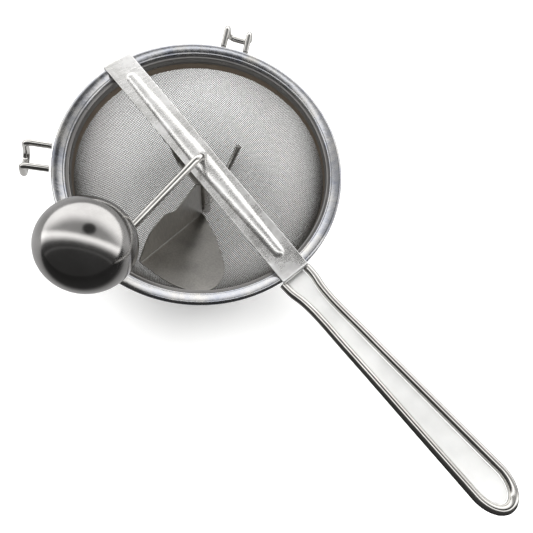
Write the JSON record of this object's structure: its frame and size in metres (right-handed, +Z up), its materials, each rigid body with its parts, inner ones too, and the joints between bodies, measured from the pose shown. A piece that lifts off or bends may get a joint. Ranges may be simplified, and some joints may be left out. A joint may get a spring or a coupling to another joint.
{
  "type": "hand-cranked rotary sieve",
  "caption": "Round steel mesh bowl sieve with a long handle, rest hooks and a bridge that carries a crank with a ball knob, a folded paddle and a scraper bar.",
  "frame": {"origin": "centre of the bowl's flat outer bottom, which the sieve rests on", "axes": "+Z up along the crank axis, +X along the bridge towards the handle"},
  "size_m": [0.39, 0.2205, 0.161],
  "materials": {
    "rim_steel": "polished",
    "woven_mesh_steel": "fine woven wire mesh",
    "band_steel": "satin",
    "polished_steel": "polished",
    "rod_steel": "polished",
    "blade_steel": "satin",
    "bushing_brass": "satin",
    "pin_steel": "satin"
  },
  "bodies": {
    "sieve": {"rim_ring": "rim_steel", "mesh_bowl": "woven_mesh_steel", "mesh_band": "band_steel", "bridge_bar": "polished_steel", "bearing_bracket": "blade_steel", "lower_bushing": "bushing_brass", "thrust_washer": "pin_steel", "handle_wire": "polished_steel", "handle_panel": "polished_steel", "hook_left": "rod_steel", "hook_right": "rod_steel"},
    "crank": {"crank_rod": "rod_steel", "retaining_collar": "pin_steel", "collar_pin": "pin_steel", "paddle_hub": "blade_steel", "hub_pin": "pin_steel", "paddle_blade": "blade_steel", "scraper_bar": "rod_steel", "knob_washer": "pin_steel", "knob_retainer": "pin_steel"},
    "knob": {"knob_ball": "polished_steel", "knob_sleeve": "bushing_brass"}
  },
  "joints": [
    {"name": "crank_turn", "type": "hinge", "parent": "sieve", "child": "crank", "pos_m": [0, 0, 0.1008], "axis": [0, 0, 1], "continuous": true},
    {"name": "knob_spin", "type": "hinge", "parent": "crank", "child": "knob", "pos_m": [0.0216, -0.09354, 0.1343], "axis": [0, 0, 1], "continuous": true}
  ]
}
